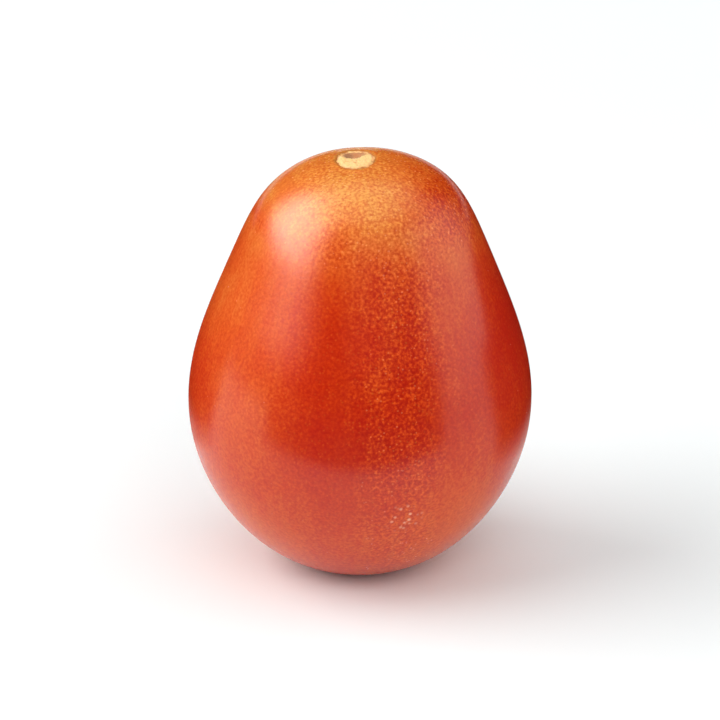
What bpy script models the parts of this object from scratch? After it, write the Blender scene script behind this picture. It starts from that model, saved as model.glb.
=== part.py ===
"""A ripe mini plum tomato, picked with no stalk, standing on its blossom end.

Metres, +Z up. The origin is on the floor, under the middle of the fruit's bounding box.
The fruit grew as one piece, so it is one closed solid: a pear-shaped body swollen by its two
seed chambers, a shallow dimple at the stem end that holds the corky scar of the stalk, and a
small flat spot under the blossom end, round the dot that the flower's style left.
"""

import math

import bmesh
import bpy

# The finished fruit, between its outermost points
FRUIT_WIDTH = 0.0265
FRUIT_DEPTH = 0.0260
FRUIT_HEIGHT = 0.0331

# The body is turned about its axis. An angle of 0 is the blossom pole and pi the stem pole.
BODY_RADIUS = 0.01287
BODY_LENGTH = 0.0337
# How the radius departs from an ellipse's, in rising powers of the cosine of that angle
TAPER = (0.237, -0.114, -0.277, 0.311)

# What keeps the fruit from being a perfectly turned shape
CHAMBERS = 2
CHAMBER_SWELL = 0.006
CHAMBER_TURN = math.radians(12)
RIBS = 5
RIB_SWELL = 0.006
RIB_TURN = math.radians(20)
STEM_LEAN_X = 0.00015
STEM_LEAN_Y = 0.0002
SHOULDER_TILT = 0.032
SCAR_SHIFT_X = -0.0005
SCAR_SHIFT_Y = 0.0005
SCAR_REACH = 0.28

# Stem end
DIMPLE_DEPTH = 0.00024
DIMPLE_RADIUS = 0.0022
SCAR_RADIUS = 0.00145
SCAR_RISE = 0.00008
LIP_RADIUS = 0.00182
LIP_RISE = 0.00007
LIP_WIDTH = 0.00024
PIT_RADIUS = 0.00045
PIT_DEPTH = 0.00012

# Blossom end
FLAT_RADIUS = 0.0033
RECESS_RADIUS = 0.0012
RECESS_DEPTH = 0.00030
STYLE_RADIUS = 0.00035
STYLE_RISE = 0.00016

# Fineness of the mesh: rings under the flat spot, up the body and round the scar
MERIDIANS = 48
RECESS_RINGS = 4
BODY_RINGS = 30
STEM_RINGS = 9

SKIN_RED = (0.60, 0.045, 0.014, 1.0)
SKIN_ROUGHNESS = 0.3


def bump(distance, width):
    """1 at no distance, falling smoothly to nothing over a few widths."""
    return math.exp(-((distance / width) ** 2))


def body_radius(angle):
    """Distance of the plain body's skin from its axis."""
    cosine = math.cos(angle)
    swell = sum(amount * cosine ** power for power, amount in enumerate(TAPER, start=1))
    return BODY_RADIUS * math.sin(angle) * (1 + swell)


def body_height(angle):
    """Height of the plain body's skin above its blossom pole."""
    return BODY_LENGTH / 2 * (1 - math.cos(angle))


def angle_at(radius, pole):
    """Angle at which the plain body has this radius, between a pole and the middle."""
    near, far = pole, math.pi / 2
    for _ in range(40):
        middle = (near + far) / 2
        if body_radius(middle) < radius:
            near = middle
        else:
            far = middle
    return near


FLAT_ANGLE = angle_at(FLAT_RADIUS, pole=0.0)
RECESS_ANGLE = angle_at(RECESS_RADIUS, pole=0.0)
RIM_ANGLE = angle_at(LIP_RADIUS + 2 * LIP_WIDTH, pole=math.pi)


def stem_relief(radius, turn):
    """What the dimple, its lip and the scar add to the skin's height, this far from the stem axis."""
    ribbed = DIMPLE_RADIUS * (1 + 0.1 * math.cos(RIBS * (turn - RIB_TURN)))
    relief = LIP_RISE * bump(radius - LIP_RADIUS, LIP_WIDTH)
    relief -= DIMPLE_DEPTH * bump(radius, ribbed) + PIT_DEPTH * bump(radius, PIT_RADIUS)
    if radius < SCAR_RADIUS:
        relief += SCAR_RISE * (1 - (radius / SCAR_RADIUS) ** 4)
    return relief


def underside_height(radius):
    """Height of the underside: a flat spot on the floor, with a recess round the style's dot."""
    if radius >= RECESS_RADIUS:
        return 0.0
    hollow = RECESS_DEPTH * (1 - (radius / RECESS_RADIUS) ** 2) ** 2
    return hollow - STYLE_RISE * bump(radius, STYLE_RADIUS)


def skin_point(angle, turn):
    """A point of the skin, at an angle from the blossom pole and a turn about the axis."""
    girth = math.sin(angle)
    shoulder = bump(angle - 0.8 * math.pi, 0.5) * girth
    swell = 1 + CHAMBER_SWELL * girth * math.cos(CHAMBERS * (turn - CHAMBER_TURN))
    swell += RIB_SWELL * shoulder * math.cos(RIBS * (turn - RIB_TURN))
    plain = body_radius(angle)
    radius = plain * swell
    height = body_height(angle) - body_height(FLAT_ANGLE)
    if angle <= FLAT_ANGLE:
        height = underside_height(plain)
    if angle > math.pi / 2:
        height += stem_relief(plain, turn)
    risen = height / BODY_LENGTH
    x = radius * math.cos(turn) + STEM_LEAN_X * risen ** 2
    y = radius * math.sin(turn) + STEM_LEAN_Y * risen ** 2
    height += SHOULDER_TILT * x * risen ** 3
    near_scar = bump(math.pi - angle, SCAR_REACH)
    return x + SCAR_SHIFT_X * near_scar, y + SCAR_SHIFT_Y * near_scar, height


def ring_angles():
    """Angle of each ring of vertices, from the blossom pole to the stem pole, finest at the ends."""
    angles = [RECESS_ANGLE * ring / RECESS_RINGS for ring in range(RECESS_RINGS + 1)]
    angles.append((RECESS_ANGLE + FLAT_ANGLE) / 2)
    body = (RIM_ANGLE - FLAT_ANGLE) / BODY_RINGS
    angles += [FLAT_ANGLE + body * ring for ring in range(BODY_RINGS)]
    stem = (math.pi - RIM_ANGLE) / STEM_RINGS
    angles += [RIM_ANGLE + stem * ring for ring in range(STEM_RINGS + 1)]
    return angles


def fit_to_box(shape):
    """Scales the shape to the fruit's outermost sizes and centres it over the origin."""
    for axis, size in enumerate((FRUIT_WIDTH, FRUIT_DEPTH, FRUIT_HEIGHT)):
        places = [vertex.co[axis] for vertex in shape.verts]
        low, high = min(places), max(places)
        start = 0.0 if axis == 2 else (low + high) / 2
        for vertex in shape.verts:
            vertex.co[axis] = (vertex.co[axis] - start) * size / (high - low)


def make_skin_material():
    """Ripe red skin with a thin natural wax."""
    material = bpy.data.materials.new("ripe_skin")
    material.use_nodes = True
    shader = material.node_tree.nodes["Principled BSDF"]
    shader.inputs["Base Color"].default_value = SKIN_RED
    shader.inputs["Roughness"].default_value = SKIN_ROUGHNESS
    shader.inputs["Metallic"].default_value = 0.0
    return material


def make_fruit(collection):
    """The whole tomato: the rings and meridians of a sphere, drawn out to the skin."""
    angles = ring_angles()
    rings = len(angles) - 1
    shape = bmesh.new()
    bmesh.ops.create_uvsphere(shape, u_segments=MERIDIANS, v_segments=rings, radius=1.0)
    for vertex in shape.verts:
        sphere_angle = math.acos(max(-1.0, min(1.0, -vertex.co.z)))
        turn = math.atan2(vertex.co.y, vertex.co.x)
        vertex.co = skin_point(angles[round(sphere_angle / math.pi * rings)], turn)
    fit_to_box(shape)
    bmesh.ops.recalc_face_normals(shape, faces=shape.faces)
    mesh = bpy.data.meshes.new("fruit")
    shape.to_mesh(mesh)
    shape.free()
    mesh.shade_smooth()
    mesh.materials.append(make_skin_material())
    collection.objects.link(bpy.data.objects.new("fruit", mesh))


def main():
    for thing in list(bpy.data.objects):
        bpy.data.objects.remove(thing)
    tomato = bpy.data.collections.new("tomato")
    bpy.context.scene.collection.children.link(tomato)
    make_fruit(tomato)


main()
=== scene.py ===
"""Looks of the ripe mini plum tomato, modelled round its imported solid.

Metres, +Z up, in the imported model's frame. One piece, the skin, stands for the solid fruit: the
same pear-shaped body, with a cracked corky scar at the stem end and the style's dot underneath.
"""

import math

import bmesh
import bpy
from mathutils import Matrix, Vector, noise


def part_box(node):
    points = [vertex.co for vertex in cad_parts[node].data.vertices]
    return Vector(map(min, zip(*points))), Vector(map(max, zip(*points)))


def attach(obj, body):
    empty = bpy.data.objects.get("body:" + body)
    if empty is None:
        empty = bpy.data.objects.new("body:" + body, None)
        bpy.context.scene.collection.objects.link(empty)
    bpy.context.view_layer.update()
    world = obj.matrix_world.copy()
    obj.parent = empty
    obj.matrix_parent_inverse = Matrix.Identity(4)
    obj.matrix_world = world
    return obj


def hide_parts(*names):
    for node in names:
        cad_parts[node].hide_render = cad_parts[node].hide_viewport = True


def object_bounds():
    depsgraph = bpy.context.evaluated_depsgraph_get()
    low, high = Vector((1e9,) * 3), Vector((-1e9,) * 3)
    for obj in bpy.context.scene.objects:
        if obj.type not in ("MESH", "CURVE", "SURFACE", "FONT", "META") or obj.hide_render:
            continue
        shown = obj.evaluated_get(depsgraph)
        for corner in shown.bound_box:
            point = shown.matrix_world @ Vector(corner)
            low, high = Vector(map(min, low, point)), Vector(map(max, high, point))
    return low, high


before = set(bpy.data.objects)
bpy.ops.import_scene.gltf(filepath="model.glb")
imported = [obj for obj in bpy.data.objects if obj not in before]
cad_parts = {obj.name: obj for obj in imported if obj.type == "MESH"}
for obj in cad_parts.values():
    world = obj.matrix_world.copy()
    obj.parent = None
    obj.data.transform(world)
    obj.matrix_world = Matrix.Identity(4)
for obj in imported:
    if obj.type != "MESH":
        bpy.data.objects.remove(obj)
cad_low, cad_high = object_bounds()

# The body is turned about its axis. An angle of 0 is the blossom pole and pi the stem pole.
BODY_RADIUS = 0.01287
BODY_LENGTH = 0.0337
# How the radius departs from an ellipse's, in rising powers of the cosine of that angle
TAPER = (0.237, -0.114, -0.277, 0.311)

# What keeps the fruit from being a perfectly turned shape
CHAMBERS = 2
CHAMBER_SWELL = 0.006
CHAMBER_TURN = math.radians(12)
RIBS = 5
RIB_SWELL = 0.006
RIB_TURN = math.radians(20)
# The ribs are strongest at this angle of the shoulder, and reach this far from it
RIB_ANGLE = 0.8 * math.pi
RIB_REACH = 0.5
STEM_LEAN_X = 0.00015
STEM_LEAN_Y = 0.0002
SHOULDER_TILT = 0.032
SCAR_SHIFT_X = -0.0005
SCAR_SHIFT_Y = 0.0005
SCAR_REACH = 0.28
# Slow unevenness of the grown skin: its size along the skin and its height
WAVE_LENGTH = 0.0085
WAVE_HEIGHT = 0.00005

# Stem end. The scar is longer than it is wide, and reaches further to the back than to the front
DIMPLE_DEPTH = 0.00024
DIMPLE_RADIUS = 0.0022
DIMPLE_RIBBING = 0.1
SCAR_RADIUS = 0.00136
SCAR_STRETCH = 1.3
SCAR_BACK = 0.00042
SCAR_RISE = 0.00013
LIP_RADIUS = 0.00182
LIP_RISE = 0.00004
LIP_WIDTH = 0.00022
STEM_RADIUS = 0.0032
# The hollow that the stalk's core left lies behind the scar's middle
PIT_X = -0.00020
PIT_Y = 0.00068
PIT_RADIUS = 0.00080
PIT_DEPTH = 0.00034
# The cork has dried and cracked from the pit outwards, and shrunk away from the skin round it
CRACKS = 9
CRACK_WIDTH = 0.20
CRACK_DEPTH = 0.00008
CRACK_WANDER = 0.6
WANDER_SIZE = 0.00080
CORK_GRAIN = 0.00020
CORK_ROUGHNESS = 0.00006
GROOVE_RADIUS = 0.00141
GROOVE_WIDTH = 0.00012
GROOVE_DEPTH = 0.00010
# The grain is fractal noise: how fast its octaves weaken, how much finer each is, how many
GRAIN_FALLOFF = 0.8
GRAIN_STEP = 2.0
GRAIN_OCTAVES = 3
# It is read from the noise a little apart from the cracks' wander
GRAIN_LAYER = 0.001

# Blossom end
FLAT_RADIUS = 0.0033
RECESS_RADIUS = 0.0012
RECESS_DEPTH = 0.00030
STYLE_RADIUS = 0.00035
STYLE_RISE = 0.00016

# Fineness of the skin's mesh: rings under the flat spot, up the body and round the scar
MERIDIANS = 320
RECESS_RINGS = 24
FLAT_RINGS = 6
BODY_RINGS = 170
STEM_RINGS = 84

# Camera and stage
CAMERA_ELEVATION = math.radians(24)
CAMERA_DISTANCE = 0.80
VIEW_WIDTH = 0.0555
SENSOR_WIDTH = 36.0
FLOOR_RADIUS = 1.2
FLOOR_GAP = 0.00002
TENT_RADIUS = 1.1


def bump(distance, width):
    """1 at no distance, falling smoothly to nothing over a few widths."""
    return math.exp(-((distance / width) ** 2))


def body_radius(angle):
    """Distance of the plain body's skin from its axis."""
    cosine = math.cos(angle)
    swell = sum(amount * cosine ** power for power, amount in enumerate(TAPER, start=1))
    return BODY_RADIUS * math.sin(angle) * (1 + swell)


def body_height(angle):
    """Height of the plain body's skin above its blossom pole."""
    return BODY_LENGTH / 2 * (1 - math.cos(angle))


def angle_at(radius, pole):
    """Angle at which the plain body has this radius, between a pole and the middle."""
    near, far = pole, math.pi / 2
    for _ in range(40):
        middle = (near + far) / 2
        if body_radius(middle) < radius:
            near = middle
        else:
            far = middle
    return near


FLAT_ANGLE = angle_at(FLAT_RADIUS, pole=0.0)
RECESS_ANGLE = angle_at(RECESS_RADIUS, pole=0.0)
RIM_ANGLE = angle_at(STEM_RADIUS, pole=math.pi)


def cork_relief(x, y):
    """Pit, cracks and grain of the corky scar, at a place measured from the scar's middle."""
    from_pit = math.hypot(x - PIT_X, y - PIT_Y)
    around = math.atan2(y - PIT_Y, x - PIT_X)
    wander = CRACK_WANDER * noise.noise(Vector((x, y, 0.0)) / WANDER_SIZE)
    crack = bump(math.sin(CRACKS / 2 * around + wander * CRACKS), CRACK_WIDTH)
    place = Vector((x, y, GRAIN_LAYER)) / CORK_GRAIN
    grain = noise.fractal(place, GRAIN_FALLOFF, GRAIN_STEP, GRAIN_OCTAVES)
    opened = min(1.0, from_pit / PIT_RADIUS)
    relief = CORK_ROUGHNESS * grain - CRACK_DEPTH * crack * opened
    return relief - PIT_DEPTH * bump(from_pit, PIT_RADIUS)


def stem_relief(radius, turn):
    """What the dimple, its lip and the scar add to the skin's height, this far from the stem axis."""
    ribbed = DIMPLE_RADIUS * (1 + DIMPLE_RIBBING * math.cos(RIBS * (turn - RIB_TURN)))
    x = radius * math.cos(turn)
    y = (radius * math.sin(turn) - SCAR_BACK) / SCAR_STRETCH
    reach = math.hypot(x, y)
    relief = LIP_RISE * bump(reach - LIP_RADIUS, LIP_WIDTH) - DIMPLE_DEPTH * bump(reach, ribbed)
    relief -= GROOVE_DEPTH * bump(reach - GROOVE_RADIUS, GROOVE_WIDTH)
    if reach < SCAR_RADIUS:
        inside = 1 - (reach / SCAR_RADIUS) ** 4
        relief += inside * (SCAR_RISE + cork_relief(x, y))
    return relief


def underside_height(radius):
    """Height of the underside: a flat spot on the floor, with a recess round the style's dot."""
    if radius >= RECESS_RADIUS:
        return 0.0
    hollow = RECESS_DEPTH * (1 - (radius / RECESS_RADIUS) ** 2) ** 2
    return hollow - STYLE_RISE * bump(radius, STYLE_RADIUS)


def skin_point(angle, turn):
    """A point of the skin, at an angle from the blossom pole and a turn about the axis."""
    girth = math.sin(angle)
    shoulder = bump(angle - RIB_ANGLE, RIB_REACH) * girth
    swell = 1 + CHAMBER_SWELL * girth * math.cos(CHAMBERS * (turn - CHAMBER_TURN))
    swell += RIB_SWELL * shoulder * math.cos(RIBS * (turn - RIB_TURN))
    plain = body_radius(angle)
    height = body_height(angle) - body_height(FLAT_ANGLE)
    if angle <= FLAT_ANGLE:
        height = underside_height(plain)
    else:
        place = Vector((plain * math.cos(turn), plain * math.sin(turn), height))
        swell += WAVE_HEIGHT / BODY_RADIUS * girth * noise.noise(place / WAVE_LENGTH)
    if angle > math.pi / 2:
        height += stem_relief(plain, turn)
    radius = plain * swell
    risen = height / BODY_LENGTH
    x = radius * math.cos(turn) + STEM_LEAN_X * risen ** 2
    y = radius * math.sin(turn) + STEM_LEAN_Y * risen ** 2
    height += SHOULDER_TILT * x * risen ** 3
    near_scar = bump(math.pi - angle, SCAR_REACH)
    return x + SCAR_SHIFT_X * near_scar, y + SCAR_SHIFT_Y * near_scar, height


def ring_angles():
    """Angle of each ring of vertices, from the blossom pole to the stem pole, finest at the ends."""
    stretches = (
        (0.0, RECESS_ANGLE, RECESS_RINGS),
        (RECESS_ANGLE, FLAT_ANGLE, FLAT_RINGS),
        (FLAT_ANGLE, RIM_ANGLE, BODY_RINGS),
        (RIM_ANGLE, math.pi, STEM_RINGS),
    )
    angles = []
    for start, end, rings in stretches:
        angles += [start + (end - start) * ring / rings for ring in range(rings)]
    return angles + [math.pi]


def fit_to_box(shape, low, high):
    """Scales the shape to fill the box between two corners."""
    for axis in range(3):
        places = [vertex.co[axis] for vertex in shape.verts]
        start, end = min(places), max(places)
        scale = (high[axis] - low[axis]) / (end - start)
        for vertex in shape.verts:
            vertex.co[axis] = low[axis] + (vertex.co[axis] - start) * scale


def make_skin():
    """The whole outside of the fruit: the rings and meridians of a sphere, drawn out to the skin."""
    angles = ring_angles()
    rings = len(angles) - 1
    shape = bmesh.new()
    bmesh.ops.create_uvsphere(shape, u_segments=MERIDIANS, v_segments=rings, radius=1.0)
    for vertex in shape.verts:
        sphere_angle = math.acos(max(-1.0, min(1.0, -vertex.co.z)))
        turn = math.atan2(vertex.co.y, vertex.co.x)
        vertex.co = skin_point(angles[round(sphere_angle / math.pi * rings)], turn)
    fit_to_box(shape, *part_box("fruit"))
    bmesh.ops.recalc_face_normals(shape, faces=shape.faces)
    mesh = bpy.data.meshes.new("tomato_skin")
    shape.to_mesh(mesh)
    shape.free()
    mesh.shade_smooth()
    mesh.materials.append(make_skin_material())
    skin = bpy.data.objects.new("tomato_skin", mesh)
    bpy.context.scene.collection.objects.link(skin)
    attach(skin, "root")
    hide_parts("fruit")


# The range that most values of the noise lie in
NOISE_RANGE = (0.25, 0.75)
# A speck is whole out to this share of its radius
SPECK_CORE = 0.3
# Cells of the specks' pattern draw numbers, and the draw has this soft an edge
DRAW_EDGE = 0.02


class Shading:
    """A material and its nodes, with a short call for each kind of node that it uses."""

    def __init__(self, name):
        self.material = bpy.data.materials.new(name)
        self.material.use_nodes = True
        self.tree = self.material.node_tree
        self.shader = self.tree.nodes["Principled BSDF"]

    def add(self, kind, inputs, output=0, **settings):
        """Adds a node, fills its inputs with values or other nodes' outputs, and gives its output."""
        node = self.tree.nodes.new(kind)
        for setting, value in settings.items():
            setattr(node, setting, value)
        for socket, value in inputs.items():
            if isinstance(value, bpy.types.NodeSocket):
                self.tree.links.new(value, node.inputs[socket])
            else:
                node.inputs[socket].default_value = value
        return node.outputs[output]

    def drive(self, socket, output):
        """Links a node's output to one of the shader's inputs."""
        self.tree.links.new(output, self.shader.inputs[socket])

    def make_matt(self):
        self.shader.inputs["Roughness"].default_value = 1.0
        self.shader.inputs["Specular IOR Level"].default_value = 0.0

    def maths(self, operation, first, second=0.0):
        return self.add("ShaderNodeMath", {0: first, 1: second}, operation=operation)

    def total(self, *values):
        """The sum of several values."""
        result = values[0]
        for value in values[1:]:
            result = self.maths("ADD", result, value)
        return result

    def product(self, *values):
        """Several values multiplied together."""
        result = values[0]
        for value in values[1:]:
            result = self.maths("MULTIPLY", result, value)
        return result

    def object_place(self):
        return self.add("ShaderNodeTexCoord", {}, output="Object")

    def axes(self, place):
        """A place's distances along X, Y and Z."""
        return self.add("ShaderNodeSeparateXYZ", {"Vector": place}).node.outputs

    def vector(self, operation, first, second=(0.0, 0.0, 0.0), output=0):
        inputs = {0: first, 1: second}
        return self.add("ShaderNodeVectorMath", inputs, output, operation=operation)

    def scaled(self, vector, factor):
        return self.add("ShaderNodeVectorMath", {0: vector, "Scale": factor}, operation="SCALE")

    def length(self, vector):
        return self.vector("LENGTH", vector, output="Value")

    def distance(self, place, point):
        return self.vector("DISTANCE", place, point, output="Value")

    def ramp(self, value, start, end, low=0.0, high=1.0, kind="SMOOTHSTEP"):
        """Goes from low, where the value is at start, to high, where it is at end."""
        limits = {"Value": value, "From Min": start, "From Max": end, "To Min": low, "To Max": high}
        return self.add("ShaderNodeMapRange", limits, interpolation_type=kind)

    def area(self, places, amount, *fades):
        """This amount, inside the fades that bound an area.

        A fade names one of the places, where on it the area starts and where it is whole, and
        the share of the amount that is left before the start.
        """
        shares = []
        for name, start, whole, left in fades:
            shares.append(self.ramp(places[name], start, whole, low=left))
        return self.product(*shares, amount)

    def spread(self, noise_value):
        """Noise drawn out from its usual range to about -1 to 1."""
        return self.ramp(noise_value, *NOISE_RANGE, low=-1.0, high=1.0, kind="LINEAR")

    def tones(self, value, stops):
        """The colour at this value on a scale of (value, colour) stops."""
        scale = self.add("ShaderNodeValToRGB", {"Fac": value}).node
        elements = scale.color_ramp.elements
        for position, _ in stops[1:-1]:
            elements.new(position)
        for element, (position, colour) in zip(elements, stops):
            element.position = position
            element.color = colour
        return scale.outputs["Color"]

    def levels(self, value, stops):
        """The amount at this value on a scale of (value, amount) stops."""
        greys = [(position, (amount, amount, amount, 1.0)) for position, amount in stops]
        return self.tones(value, greys)

    def blend(self, share, first, second):
        """The first colour, turned by this share into the second."""
        inputs = {0: share, 6: first, 7: second}
        return self.add("ShaderNodeMix", inputs, output=2, data_type="RGBA")

    def clouds(self, place, size, detail=2.0, roughness=0.5):
        """Noise from 0 to 1 whose patches have about this size."""
        inputs = {"Vector": place, "Scale": 1 / size, "Detail": detail, "Roughness": roughness}
        return self.add("ShaderNodeTexNoise", inputs)

    def specks(self, place, spacing, radius, share):
        """Round specks about this far apart. Only this share of them is there."""
        inputs = {"Vector": place, "Scale": 1 / spacing, "Randomness": 1.0}
        cells = self.add("ShaderNodeTexVoronoi", inputs).node
        edge = radius / spacing
        dots = self.ramp(cells.outputs["Distance"], edge, SPECK_CORE * edge)
        draw = self.add("ShaderNodeSeparateColor", {"Color": cells.outputs["Color"]})
        return self.product(dots, self.ramp(draw, 1 - share, 1 - share + DRAW_EDGE))


# The skin's material works in millimetres
MILLIMETRES = 1000.0

# Tones of the skin, from its ripest to its least ripe
RIPENING = (
    (0.00, (0.495, 0.0115, 0.0008, 1.0)),
    (0.15, (0.530, 0.0230, 0.0014, 1.0)),
    (0.30, (0.585, 0.0420, 0.0030, 1.0)),
    (0.50, (0.665, 0.0900, 0.0090, 1.0)),
    (0.75, (0.725, 0.1800, 0.0270, 1.0)),
    (1.00, (0.760, 0.3200, 0.0580, 1.0)),
)
# How unripe the front is at each height
UNRIPE_AT = (
    (6.0, 0.34), (9.0, 0.29), (11.2, 0.24), (13.4, 0.16), (16.4, 0.07), (19.0, 0.11),
    (21.3, 0.16), (23.6, 0.21), (25.7, 0.27), (27.4, 0.37), (29.1, 0.51), (30.5, 0.71),
    (31.4, 0.87), (32.3, 0.92), (32.9, 0.80),
)
# Areas that ripen later than the front does at their height: by how much, then their fades.
# A fade is along x, along z or, for the front's stripe and stream, along x from a middle line
# that strays as the grown flesh does.
LATE_LEFT_FLANK = (
    0.34, ("x", -2.5, -9.5, 0.0), ("x", -13.2, -10.5, 0.5),
    ("z", 29.0, 22.5, 0.15), ("z", 9.0, 17.0, 0.35),
)
LATE_LEFT_SHOULDER = (0.11, ("x", -2.5, -5.0, 0.0), ("x", -10.5, -7.5, 0.0), ("z", 24.0, 28.0, 0.0))
LATE_RIGHT_SIDE = (0.12, ("x", 2.5, 6.0, 0.0), ("x", 11.8, 9.5, 0.0), ("z", 31.0, 28.0, 0.0))
LATE_STRIPE = (
    0.11, ("strayed", 0.1, 1.8, 0.0), ("strayed", 3.3, 1.8, 0.0),
    ("z", 12.0, 16.0, 0.0), ("z", 28.0, 24.0, 0.0),
)
# Areas that ripen sooner, in the same way. Where two overlap on one shoulder, the stronger counts.
EARLY_RIGHT_CROWN = (0.46, ("x", 0.3, 7.0, 0.0), ("z", 29.0, 31.3, 0.0))
EARLY_RIGHT_SHOULDER = (0.40, ("x", 4.0, 8.0, 0.0), ("z", 27.0, 30.5, 0.0))
EARLY_LEFT_CROWN = (0.42, ("x", -1.5, -7.0, 0.0), ("z", 30.0, 32.0, 0.0))
EARLY_LEFT_SHOULDER = (0.28, ("x", -5.4, -8.5, 0.0), ("z", 28.0, 29.6, 0.0))
EARLY_RIGHT_FLANK = (0.18, ("x", 7.5, 10.5, 0.0), ("z", 17.0, 21.0, 0.0))
# Areas of strong mottling: how strong, then their fades
MOTTLED_CROWN = (1.0, ("z", 26.5, 30.0, 0.0), ("x", -6.5, -2.5, 0.3))
MOTTLED_STREAM = (
    0.8, ("strayed", -1.4, 2.2, 0.0), ("strayed", 7.2, 4.3, 0.0), ("z", 9.0, 14.0, 0.625),
)

# How far the patches and the mottling move the middle line, and the patches the heights
STRAY_BY_PATCHES = 0.9
STRAY_BY_MOTTLE = 0.35
RISE_BY_PATCHES = 0.5
# How much less ripe than their surroundings the palest patches and streaks are
PALER_PATCHES = 0.06
PALER_STREAKS = 0.07
# Strength of the mottling in the plainest skin, and how much the streaks add
LEAST_MOTTLING = 0.35
STREAKED_MOTTLING = 0.15
# How much less ripe the grain's palest spots are on red skin and on golden skin, how unripe those
# two are, and how bright the grain's darkest and palest spots are
GRAIN_ON_RED = 0.30
GRAIN_ON_GOLD = 0.20
RED_TO_GOLD = (0.15, 0.7)
GRAIN_RANGE = (-0.3, 0.3)
GRAIN_DARKEST = 0.80
GRAIN_BRIGHTEST = 1.18
# How much less ripe and how much more golden the light specks are
SPECK_UNRIPENESS = 0.09
SPECK_GOLD = 0.16

# Sizes of the skin's patterns
PATCH_SIZE = 4.5
STREAK_SIZE = 1.1
STREAK_SQUASH = 0.2
MOTTLE_SIZE = 0.7
GRAIN_SIZE = 0.23
PEEL_SIZE = 0.32
SPECK_SPACING = 0.33
SPECK_RADIUS = 0.12
SPECK_SHARE = 0.7
# A few pale dried specks low on the front
DRY_PLACE = (3.5, -11.9, 8.4)
DRY_SPACING = 0.50
DRY_RADIUS = 0.19
DRY_SHARE = 0.8
DRY_EDGE = (1.9, 0.5)
DRY_STRENGTH = 0.75
# Outer and inner edge of the olive ring, of the cork inside it and of the style's dot. Only skin
# this near the top has the ring and the cork, and only skin this low has the dot.
RING_EDGE = (1.8, 1.4)
RING_STRENGTH = 0.7
CORK_EDGE = (1.48, 1.34)
CORK_BELOW_TOP = (3.0, 2.0)
DOT_EDGE = (0.75, 0.35)
DOT_TOP = (2.0, 1.0)
# How the scar's edge wobbles: its size along the edge and across it
SCAR_WOBBLE_SIZE = 0.5
SCAR_WOBBLE = 0.10
# Painted shade darkens an oval of the cork at the back of the scar, in its hollow: the oval's middle,
# and what its width and depth are divided by
HOLLOW_MIDDLE = (-0.14, 0.74, 0.0)
HOLLOW_NARROWING = (0.95, 1.85, 0.0)
HOLLOW_EDGE = (1.12, 0.72)
HOLLOW_WOBBLE_SIZE = 0.35
HOLLOW_WOBBLE = 0.24
# The darkest painted shade on the cork, as of the hollow's wall in shadow, lies this far to the left
# of the pit
PIT_SHADE_LEFT = 0.45
PIT_SHADE_EDGE = (0.65, 0.15)
PIT_SHADE_WOBBLE = 0.15
PIT_SHADE_STRENGTH = 0.8
# Brown stains all over the cork, and its pores
STAIN_SIZE = 0.28
STAIN_EDGE = (0.45, 0.72)
STAIN_STRENGTH = 0.42
PORE_SIZE = 0.12
PORE_HEIGHT = 0.05

FLECK_GOLD = (0.88, 0.33, 0.050, 1.0)
DRY_SPECK = (0.90, 0.55, 0.30, 1.0)
CORK = (0.92, 0.57, 0.225, 1.0)
# Brown of the cork's real stains, also used as painted shade in its hollow
CORK_STAIN_AND_SHADE = (0.50, 0.20, 0.075, 1.0)
# Dark brown of the painted shade by the pit
PIT_SHADE_BROWN = (0.26, 0.12, 0.05, 1.0)
OLIVE = (0.40, 0.17, 0.04, 1.0)
STYLE_BROWN = (0.16, 0.07, 0.025, 1.0)

# The wax and the translucent flesh under it
SMOOTHEST_WAX = 0.21
ROUGHEST_WAX = 0.26
SPECK_ROUGHNESS = 0.05
PEEL_HEIGHT = 0.009
SPECK_HEIGHT = 0.003
CORK_MATTNESS = 0.85
WAX_IOR = 1.46
FLESH_WEIGHT = 0.3
FLESH_RADIUS = (1.0, 0.25, 0.12)
FLESH_SCALE = 0.002


def in_millimetres(metres):
    return metres * MILLIMETRES


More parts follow.
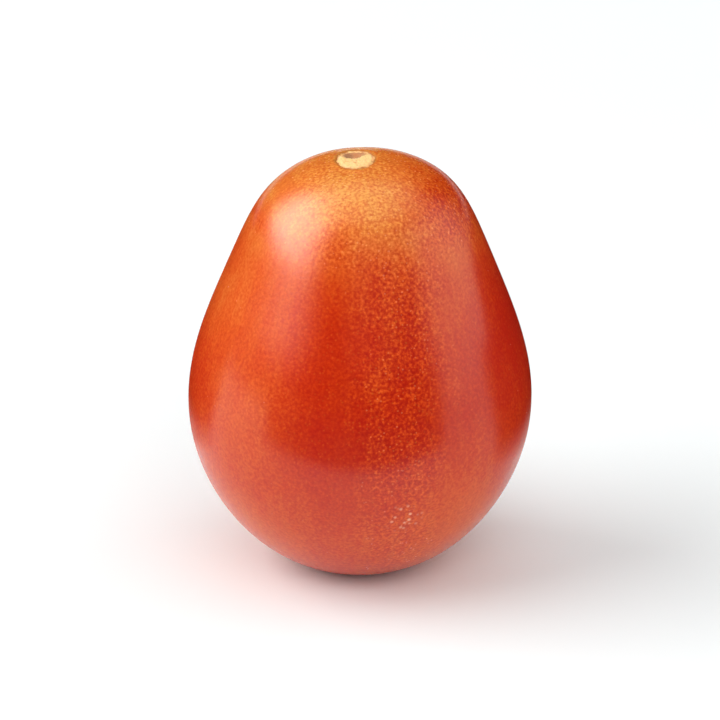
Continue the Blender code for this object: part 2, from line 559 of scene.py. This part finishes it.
class SkinShading(Shading):
    """The skin's material, with the places and the slow patterns that its parts share."""

    def __init__(self):
        super().__init__("ripe_tomato_skin")
        self.place = self.scaled(self.object_place(), MILLIMETRES)
        x, y, self.z = self.axes(self.place)
        self.level = self.add("ShaderNodeCombineXYZ", {0: x, 1: y})
        self.patches = self.spread(self.clouds(self.place, PATCH_SIZE, detail=3.0))
        self.mottle = self.spread(self.clouds(self.place, MOTTLE_SIZE, detail=4.0))

        # Places drawn together along the meridians, so that what follows them grows in streaks
        round_axis = self.scaled(self.vector("NORMALIZE", self.level), in_millimetres(BODY_RADIUS))
        squashed = self.vector("MULTIPLY", self.place, (0.0, 0.0, STREAK_SQUASH))
        streak_place = self.vector("ADD", round_axis, squashed)
        streaks = self.clouds(streak_place, STREAK_SIZE, detail=4.0, roughness=0.6)
        self.streaks = self.spread(streaks)

        strayed = self.total(
            x,
            self.product(self.patches, STRAY_BY_PATCHES),
            self.product(self.mottle, STRAY_BY_MOTTLE),
        )
        self.places = {"x": x, "z": self.z, "strayed": strayed}

    def skin_area(self, area):
        return self.area(self.places, *area)

    def stronger_area(self, first, second):
        return self.maths("MAXIMUM", self.skin_area(first), self.skin_area(second))

    def unripeness(self):
        """0 where the skin is ripest: the belly ripens first, the shoulder and left flank last."""
        top = in_millimetres(cad_high.z)
        height = self.total(self.z, self.product(self.patches, RISE_BY_PATCHES))
        stops = [(at / top, amount) for at, amount in UNRIPE_AT]
        front = self.levels(self.maths("DIVIDE", height, top), stops)
        late_areas = (LATE_LEFT_FLANK, LATE_LEFT_SHOULDER, LATE_RIGHT_SIDE, LATE_STRIPE)
        late = self.total(*[self.skin_area(area) for area in late_areas])
        early = self.total(
            self.stronger_area(EARLY_RIGHT_CROWN, EARLY_RIGHT_SHOULDER),
            self.stronger_area(EARLY_LEFT_CROWN, EARLY_LEFT_SHOULDER),
            self.skin_area(EARLY_RIGHT_FLANK),
        )
        patchy = self.product(self.patches, PALER_PATCHES)
        streaky = self.product(self.streaks, PALER_STREAKS)
        return self.total(self.maths("SUBTRACT", front, early), late, patchy, streaky)

    def mottled_colour(self, unripe):
        """The skin's colour with its fine mottling, and the light specks that are part of it."""
        strongest = self.stronger_area(MOTTLED_CROWN, MOTTLED_STREAM)
        strength = self.total(strongest, self.product(self.streaks, STREAKED_MOTTLING))
        strength = self.ramp(strength, 0.0, 1.0, low=LEAST_MOTTLING, kind="LINEAR")
        grain = self.spread(self.clouds(self.place, GRAIN_SIZE, detail=1.0))
        contrast = self.ramp(unripe, *RED_TO_GOLD, low=GRAIN_ON_RED, high=GRAIN_ON_GOLD)
        grain = self.product(grain, strength, contrast)
        light = self.specks(self.place, SPECK_SPACING, SPECK_RADIUS, SPECK_SHARE)
        light = self.product(light, strength)
        mottled = self.total(unripe, grain, self.product(light, SPECK_UNRIPENESS))
        colour = self.tones(mottled, RIPENING)
        colour = self.blend(self.product(light, SPECK_GOLD), colour, FLECK_GOLD)
        brightness = self.ramp(
            grain, *GRAIN_RANGE, low=GRAIN_DARKEST, high=GRAIN_BRIGHTEST, kind="LINEAR",
        )
        return self.scaled(colour, brightness), light

    def with_dry_specks(self, colour):
        dry = self.specks(self.place, DRY_SPACING, DRY_RADIUS, DRY_SHARE)
        near = self.ramp(self.distance(self.place, DRY_PLACE), *DRY_EDGE)
        return self.blend(self.product(dry, near, DRY_STRENGTH), colour, DRY_SPECK)

    def with_scar(self, colour):
        """The colour with the corky scar, its painted shade and an olive ring round it, and the
        cork's share.
        """
        scar_x = in_millimetres(SCAR_SHIFT_X + STEM_LEAN_X)
        scar_y = in_millimetres(SCAR_SHIFT_Y + STEM_LEAN_Y + SCAR_BACK)
        plan = self.vector("SUBTRACT", self.level, (scar_x, scar_y, 0.0))
        plan = self.vector("MULTIPLY", plan, (1.0, 1 / SCAR_STRETCH, 0.0))
        wobble = self.spread(self.clouds(self.place, SCAR_WOBBLE_SIZE))
        ragged = self.total(self.length(plan), self.product(wobble, SCAR_WOBBLE))
        below_top = self.maths("SUBTRACT", in_millimetres(cad_high.z), self.z)
        at_stem = self.ramp(below_top, *CORK_BELOW_TOP)
        ring = self.product(self.ramp(ragged, *RING_EDGE), at_stem)
        cork = self.product(self.ramp(ragged, *CORK_EDGE), at_stem)

        rough_edge = self.spread(self.clouds(self.place, HOLLOW_WOBBLE_SIZE, detail=3.0))
        hollow = self.vector("SUBTRACT", plan, HOLLOW_MIDDLE)
        hollow = self.vector("MULTIPLY", hollow, HOLLOW_NARROWING)
        from_hollow = self.total(self.length(hollow), self.product(rough_edge, HOLLOW_WOBBLE))
        # Painted shade: the back of the scar, where its hollow lies, is darkened towards brown
        hollow_shade = self.ramp(from_hollow, *HOLLOW_EDGE)
        # Painted shade: the cork to the left of the pit is darkened as if its wall were in shadow
        pit_middle = (in_millimetres(PIT_X) - PIT_SHADE_LEFT, in_millimetres(PIT_Y), 0.0)
        pit_edge = self.product(rough_edge, PIT_SHADE_WOBBLE)
        from_pit = self.total(self.distance(plan, pit_middle), pit_edge)
        pit = self.product(self.ramp(from_pit, *PIT_SHADE_EDGE), PIT_SHADE_STRENGTH)
        stains = self.clouds(self.place, STAIN_SIZE, detail=4.0)
        stained = self.ramp(stains, *STAIN_EDGE, high=STAIN_STRENGTH)
        # Real brown stains and the painted shade in the hollow both turn the cork brown
        cork_colour = self.blend(self.maths("MAXIMUM", stained, hollow_shade), CORK, CORK_STAIN_AND_SHADE)
        cork_colour = self.blend(pit, cork_colour, PIT_SHADE_BROWN)
        colour = self.blend(self.product(ring, RING_STRENGTH), colour, OLIVE)
        return self.blend(cork, colour, cork_colour), cork

    def style_dot(self):
        """1 on the dot that the flower's style left under the blossom end."""
        near = self.ramp(self.length(self.level), *DOT_EDGE)
        return self.product(near, self.ramp(self.z, *DOT_TOP))


def make_skin_material():
    """Ripe tomato skin: red below, gold round the scar, mottled all over, with a natural wax."""
    s = SkinShading()
    colour, light = s.mottled_colour(s.unripeness())
    colour, cork = s.with_scar(s.with_dry_specks(colour))
    dot = s.style_dot()
    s.drive("Base Color", s.blend(dot, colour, STYLE_BROWN))

    rough = s.ramp(s.mottle, -1.0, 1.0, low=SMOOTHEST_WAX, high=ROUGHEST_WAX)
    rough = s.total(rough, s.product(light, SPECK_ROUGHNESS))
    matt = s.product(s.maths("MAXIMUM", cork, dot), CORK_MATTNESS)
    s.drive("Roughness", s.maths("MAXIMUM", rough, matt))

    peel = s.product(s.clouds(s.place, PEEL_SIZE), PEEL_HEIGHT)
    raised = s.product(light, SPECK_HEIGHT)
    pores = s.product(s.clouds(s.place, PORE_SIZE, detail=4.0), cork, PORE_HEIGHT)
    height = s.total(peel, raised, pores)
    relief = {"Height": height, "Distance": 1 / MILLIMETRES, "Strength": 1.0}
    s.drive("Normal", s.add("ShaderNodeBump", relief))

    s.shader.inputs["IOR"].default_value = WAX_IOR
    s.shader.inputs["Subsurface Weight"].default_value = FLESH_WEIGHT
    s.shader.inputs["Subsurface Radius"].default_value = FLESH_RADIUS
    s.shader.inputs["Subsurface Scale"].default_value = FLESH_SCALE
    return s.material


# Colours of the stage
FLOOR_WHITES = ((0.90, 0.94, 0.94, 1.0), (0.91, 0.95, 0.95, 1.0))
FLOOR_CLOUDS = 0.05
FLOOR_BLEND = (0.3, 0.7)
SCREEN_BLACK = (0.012, 0.009, 0.009, 1.0)
SCREEN_FOOT = (0.75, 0.70, 0.68, 1.0)


def make_floor_material():
    """Matt white whose tone wanders a little."""
    s = Shading("pale_floor")
    share = s.ramp(s.clouds(s.object_place(), FLOOR_CLOUDS), *FLOOR_BLEND)
    s.drive("Base Color", s.blend(share, *FLOOR_WHITES))
    s.make_matt()
    return s.material


def make_floor():
    """Plain pale floor that the fruit stands on."""
    shape = bmesh.new()
    bmesh.ops.create_circle(shape, cap_ends=True, segments=96, radius=FLOOR_RADIUS)
    bmesh.ops.translate(shape, vec=(0, 0, -FLOOR_GAP), verts=shape.verts)
    mesh = bpy.data.meshes.new("floor")
    shape.to_mesh(mesh)
    shape.free()
    mesh.materials.append(make_floor_material())
    floor = bpy.data.objects.new("floor", mesh)
    bpy.context.scene.collection.objects.link(floor)


def direction(azimuth, elevation):
    """Unit vector towards an azimuth, counted from -Y towards +X, and an elevation, in degrees."""
    a, e = math.radians(azimuth), math.radians(elevation)
    return Vector((math.sin(a) * math.cos(e), -math.cos(a) * math.cos(e), math.sin(e)))


def add_panel(name, azimuth, elevation, distance, width, height, radiance):
    """A rectangular soft light of this radiance that faces the fruit but isn't reflected in it."""
    light = bpy.data.lights.new(name, "AREA")
    light.shape = "RECTANGLE"
    light.size = width
    light.size_y = height
    light.energy = radiance * width * height * math.pi
    panel = bpy.data.objects.new(name, light)
    away = direction(azimuth, elevation)
    middle = Vector((0, 0, (cad_low.z + cad_high.z) / 2))
    panel.location = middle + away * distance
    panel.rotation_euler = away.to_track_quat("Z", "Y").to_euler()
    panel.visible_camera = False
    panel.visible_glossy = False
    bpy.context.scene.collection.objects.link(panel)


def make_lights():
    """A large soft light at the left, and weaker ones at the right, above and in front."""
    add_panel("left_softbox", -88, 36, distance=0.60, width=0.70, height=0.48, radiance=3.6)
    add_panel("right_fill", 86, 29, distance=0.69, width=0.87, height=0.70, radiance=1.0)
    add_panel("top_light", 170, 80, distance=0.70, width=1.00, height=1.00, radiance=0.9)
    add_panel("front_fill", 15, 35, distance=0.70, width=0.60, height=0.50, radiance=2.3)


# Where the tent glows: how brightly, then the fades of each glow, in degrees. The window shines on
# its left. The wall opposite is fainter, and so is the roof.
WINDOW_GLOW = (
    9.0, ("rear edge", -146, -98, 0.0), ("front edge", -32, -74, 0.0),
    ("sill", 11, 23, 0.0), ("elevation", 78, 42, 0.0),
)
WALL_GLOW = (1.45, ("azimuth", 36, 72, 0.0), ("azimuth", 144, 98, 0.0), ("elevation", 64, 32, 0.0))
ROOF_GLOW = (1.0, ("roof", 54, 76, 0.0))
# How the window's edges lean: how far each is moved per degree along it, and altogether
REAR_EDGE_LEAN = (0.5, -15.0)
FRONT_EDGE_LEAN = (0.09, -3.5)
SILL_LEAN = (-0.05, -4.2)
# The roof's glow reaches this much further down at the back, between these shares of the radius
ROOF_DROP = 16.0
ROOF_DROP_RANGE = (-0.3, 0.5)


def make_tent_material():
    """White cloth that glows where light falls on it from outside."""
    s = Shading("tent_cloth")
    x, y, z = s.axes(s.vector("NORMALIZE", s.object_place()))
    towards_camera = s.product(y, -1.0)
    azimuth = s.maths("DEGREES", s.maths("ARCTAN2", x, towards_camera))
    elevation = s.maths("DEGREES", s.maths("ARCSINE", z))

    def leaning(across, along, lean):
        slope, shift = lean
        return s.total(across, s.product(along, slope), shift)

    places = {
        "azimuth": azimuth,
        "elevation": elevation,
        "rear edge": leaning(azimuth, elevation, REAR_EDGE_LEAN),
        "front edge": leaning(azimuth, elevation, FRONT_EDGE_LEAN),
        "sill": leaning(elevation, azimuth, SILL_LEAN),
        "roof": s.total(elevation, s.ramp(y, *ROOF_DROP_RANGE, high=ROOF_DROP)),
    }
    glow = s.total(*[s.area(places, *area) for area in (WINDOW_GLOW, WALL_GLOW, ROOF_GLOW)])
    s.shader.inputs["Base Color"].default_value = (0.0, 0.0, 0.0, 1.0)
    s.shader.inputs["Specular IOR Level"].default_value = 0.0
    s.shader.inputs["Emission Color"].default_value = (1.0, 1.0, 1.0, 1.0)
    s.drive("Emission Strength", glow)
    return s.material


def show_in_reflections(thing):
    """Puts a thing on the stage that only reflections see."""
    bpy.context.scene.collection.objects.link(thing)
    thing.visible_camera = False
    thing.visible_diffuse = False
    thing.visible_shadow = False
    thing.visible_transmission = False
    thing.visible_volume_scatter = False


def make_tent():
    """A cloth tent over the table: the upper half of a ball."""
    shape = bmesh.new()
    bmesh.ops.create_uvsphere(shape, u_segments=64, v_segments=32, radius=TENT_RADIUS)
    below = [vertex for vertex in shape.verts if vertex.co.z < -FLOOR_GAP]
    bmesh.ops.delete(shape, geom=below, context="VERTS")
    mesh = bpy.data.meshes.new("tent")
    shape.to_mesh(mesh)
    shape.free()
    mesh.shade_smooth()
    mesh.materials.append(make_tent_material())
    show_in_reflections(bpy.data.objects.new("tent", mesh))


# Dark screens on the floor, a low one behind the fruit and one on the camera's side. Each is a
# line of azimuths in degrees, distances from the fruit's axis and heights.
BACK_SCREEN = (
    (90, 0.110, 0.024), (84, 0.026, 0.021), (98, 0.0245, 0.026), (112, 0.024, 0.0275),
    (136, 0.025, 0.0275), (180, 0.026, 0.0275), (216, 0.026, 0.0275), (241, 0.026, 0.0275),
    (260, 0.031, 0.0275), (259, 0.100, 0.0275),
)
FRONT_SCREEN = ((-58, 0.062, 0.030), (-20, 0.040, 0.030), (20, 0.040, 0.030), (50, 0.060, 0.030))


def make_screen_material(name, pale_foot):
    """Matt black cloth that grows pale below this height, so that its foot melts into the floor."""
    s = Shading(name)
    height = s.axes(s.object_place())["Z"]
    s.drive("Base Color", s.blend(s.ramp(height, pale_foot, 0.0), SCREEN_BLACK, SCREEN_FOOT))
    s.make_matt()
    return s.material


def add_screen(name, line, pale_foot):
    """An upright dark screen on the floor, which keeps the fruit's middle and rims deep."""
    shape = bmesh.new()
    bmesh.ops.create_grid(shape, x_segments=len(line) - 1, y_segments=1, size=0.5)
    for vertex in shape.verts:
        azimuth, distance, height = line[round((vertex.co.x + 0.5) * (len(line) - 1))]
        raised = height if vertex.co.y > 0 else 0.0
        vertex.co = direction(azimuth, 0) * distance + Vector((0, 0, raised))
    mesh = bpy.data.meshes.new(name)
    shape.to_mesh(mesh)
    shape.free()
    mesh.materials.append(make_screen_material(name, pale_foot))
    show_in_reflections(bpy.data.objects.new(name, mesh))


def make_screens():
    add_screen("back_screen", BACK_SCREEN, pale_foot=0.007)
    add_screen("front_screen", FRONT_SCREEN, pale_foot=0.001)


# Strength of the surroundings on the camera's side and behind the fruit, and how far along Y,
# as a share of their radius, the one fades into the other
DIM_SIDE = 0.03
BRIGHT_SIDE = 0.55
DIM_UNTIL = -0.75
BRIGHT_FROM = 0.1


def make_world():
    """White surroundings that grow dark towards the camera's side of the studio."""
    world = bpy.data.worlds.new("studio")
    world.use_nodes = True
    tree = world.node_tree
    background = tree.nodes["Background"]
    place = tree.nodes.new("ShaderNodeTexCoord")
    axes = tree.nodes.new("ShaderNodeSeparateXYZ")
    tree.links.new(place.outputs["Generated"], axes.inputs[0])
    fade = tree.nodes.new("ShaderNodeMapRange")
    fade.interpolation_type = "SMOOTHSTEP"
    fade.inputs["From Min"].default_value = DIM_UNTIL
    fade.inputs["From Max"].default_value = BRIGHT_FROM
    fade.inputs["To Min"].default_value = DIM_SIDE
    fade.inputs["To Max"].default_value = BRIGHT_SIDE
    tree.links.new(axes.outputs["Y"], fade.inputs["Value"])
    tree.links.new(fade.outputs[0], background.inputs["Strength"])
    bpy.context.scene.world = world


def make_camera():
    """Looks down on the fruit from the front, as far off as a product photographer stands."""
    camera = bpy.data.cameras.new("camera")
    camera.sensor_width = SENSOR_WIDTH
    camera.lens = SENSOR_WIDTH * CAMERA_DISTANCE / VIEW_WIDTH
    camera.clip_start = 0.01
    camera.clip_end = 10.0
    stand = bpy.data.objects.new("camera", camera)
    back = Vector((0, -math.cos(CAMERA_ELEVATION), math.sin(CAMERA_ELEVATION)))
    middle = (cad_low + cad_high) / 2
    stand.location = middle + back * CAMERA_DISTANCE
    stand.rotation_euler = back.to_track_quat("Z", "Y").to_euler()
    bpy.context.scene.collection.objects.link(stand)
    bpy.context.scene.camera = stand


make_skin()
make_floor()
make_lights()
make_tent()
make_screens()
make_world()
make_camera()
bpy.context.scene.view_settings.view_transform = "Standard"
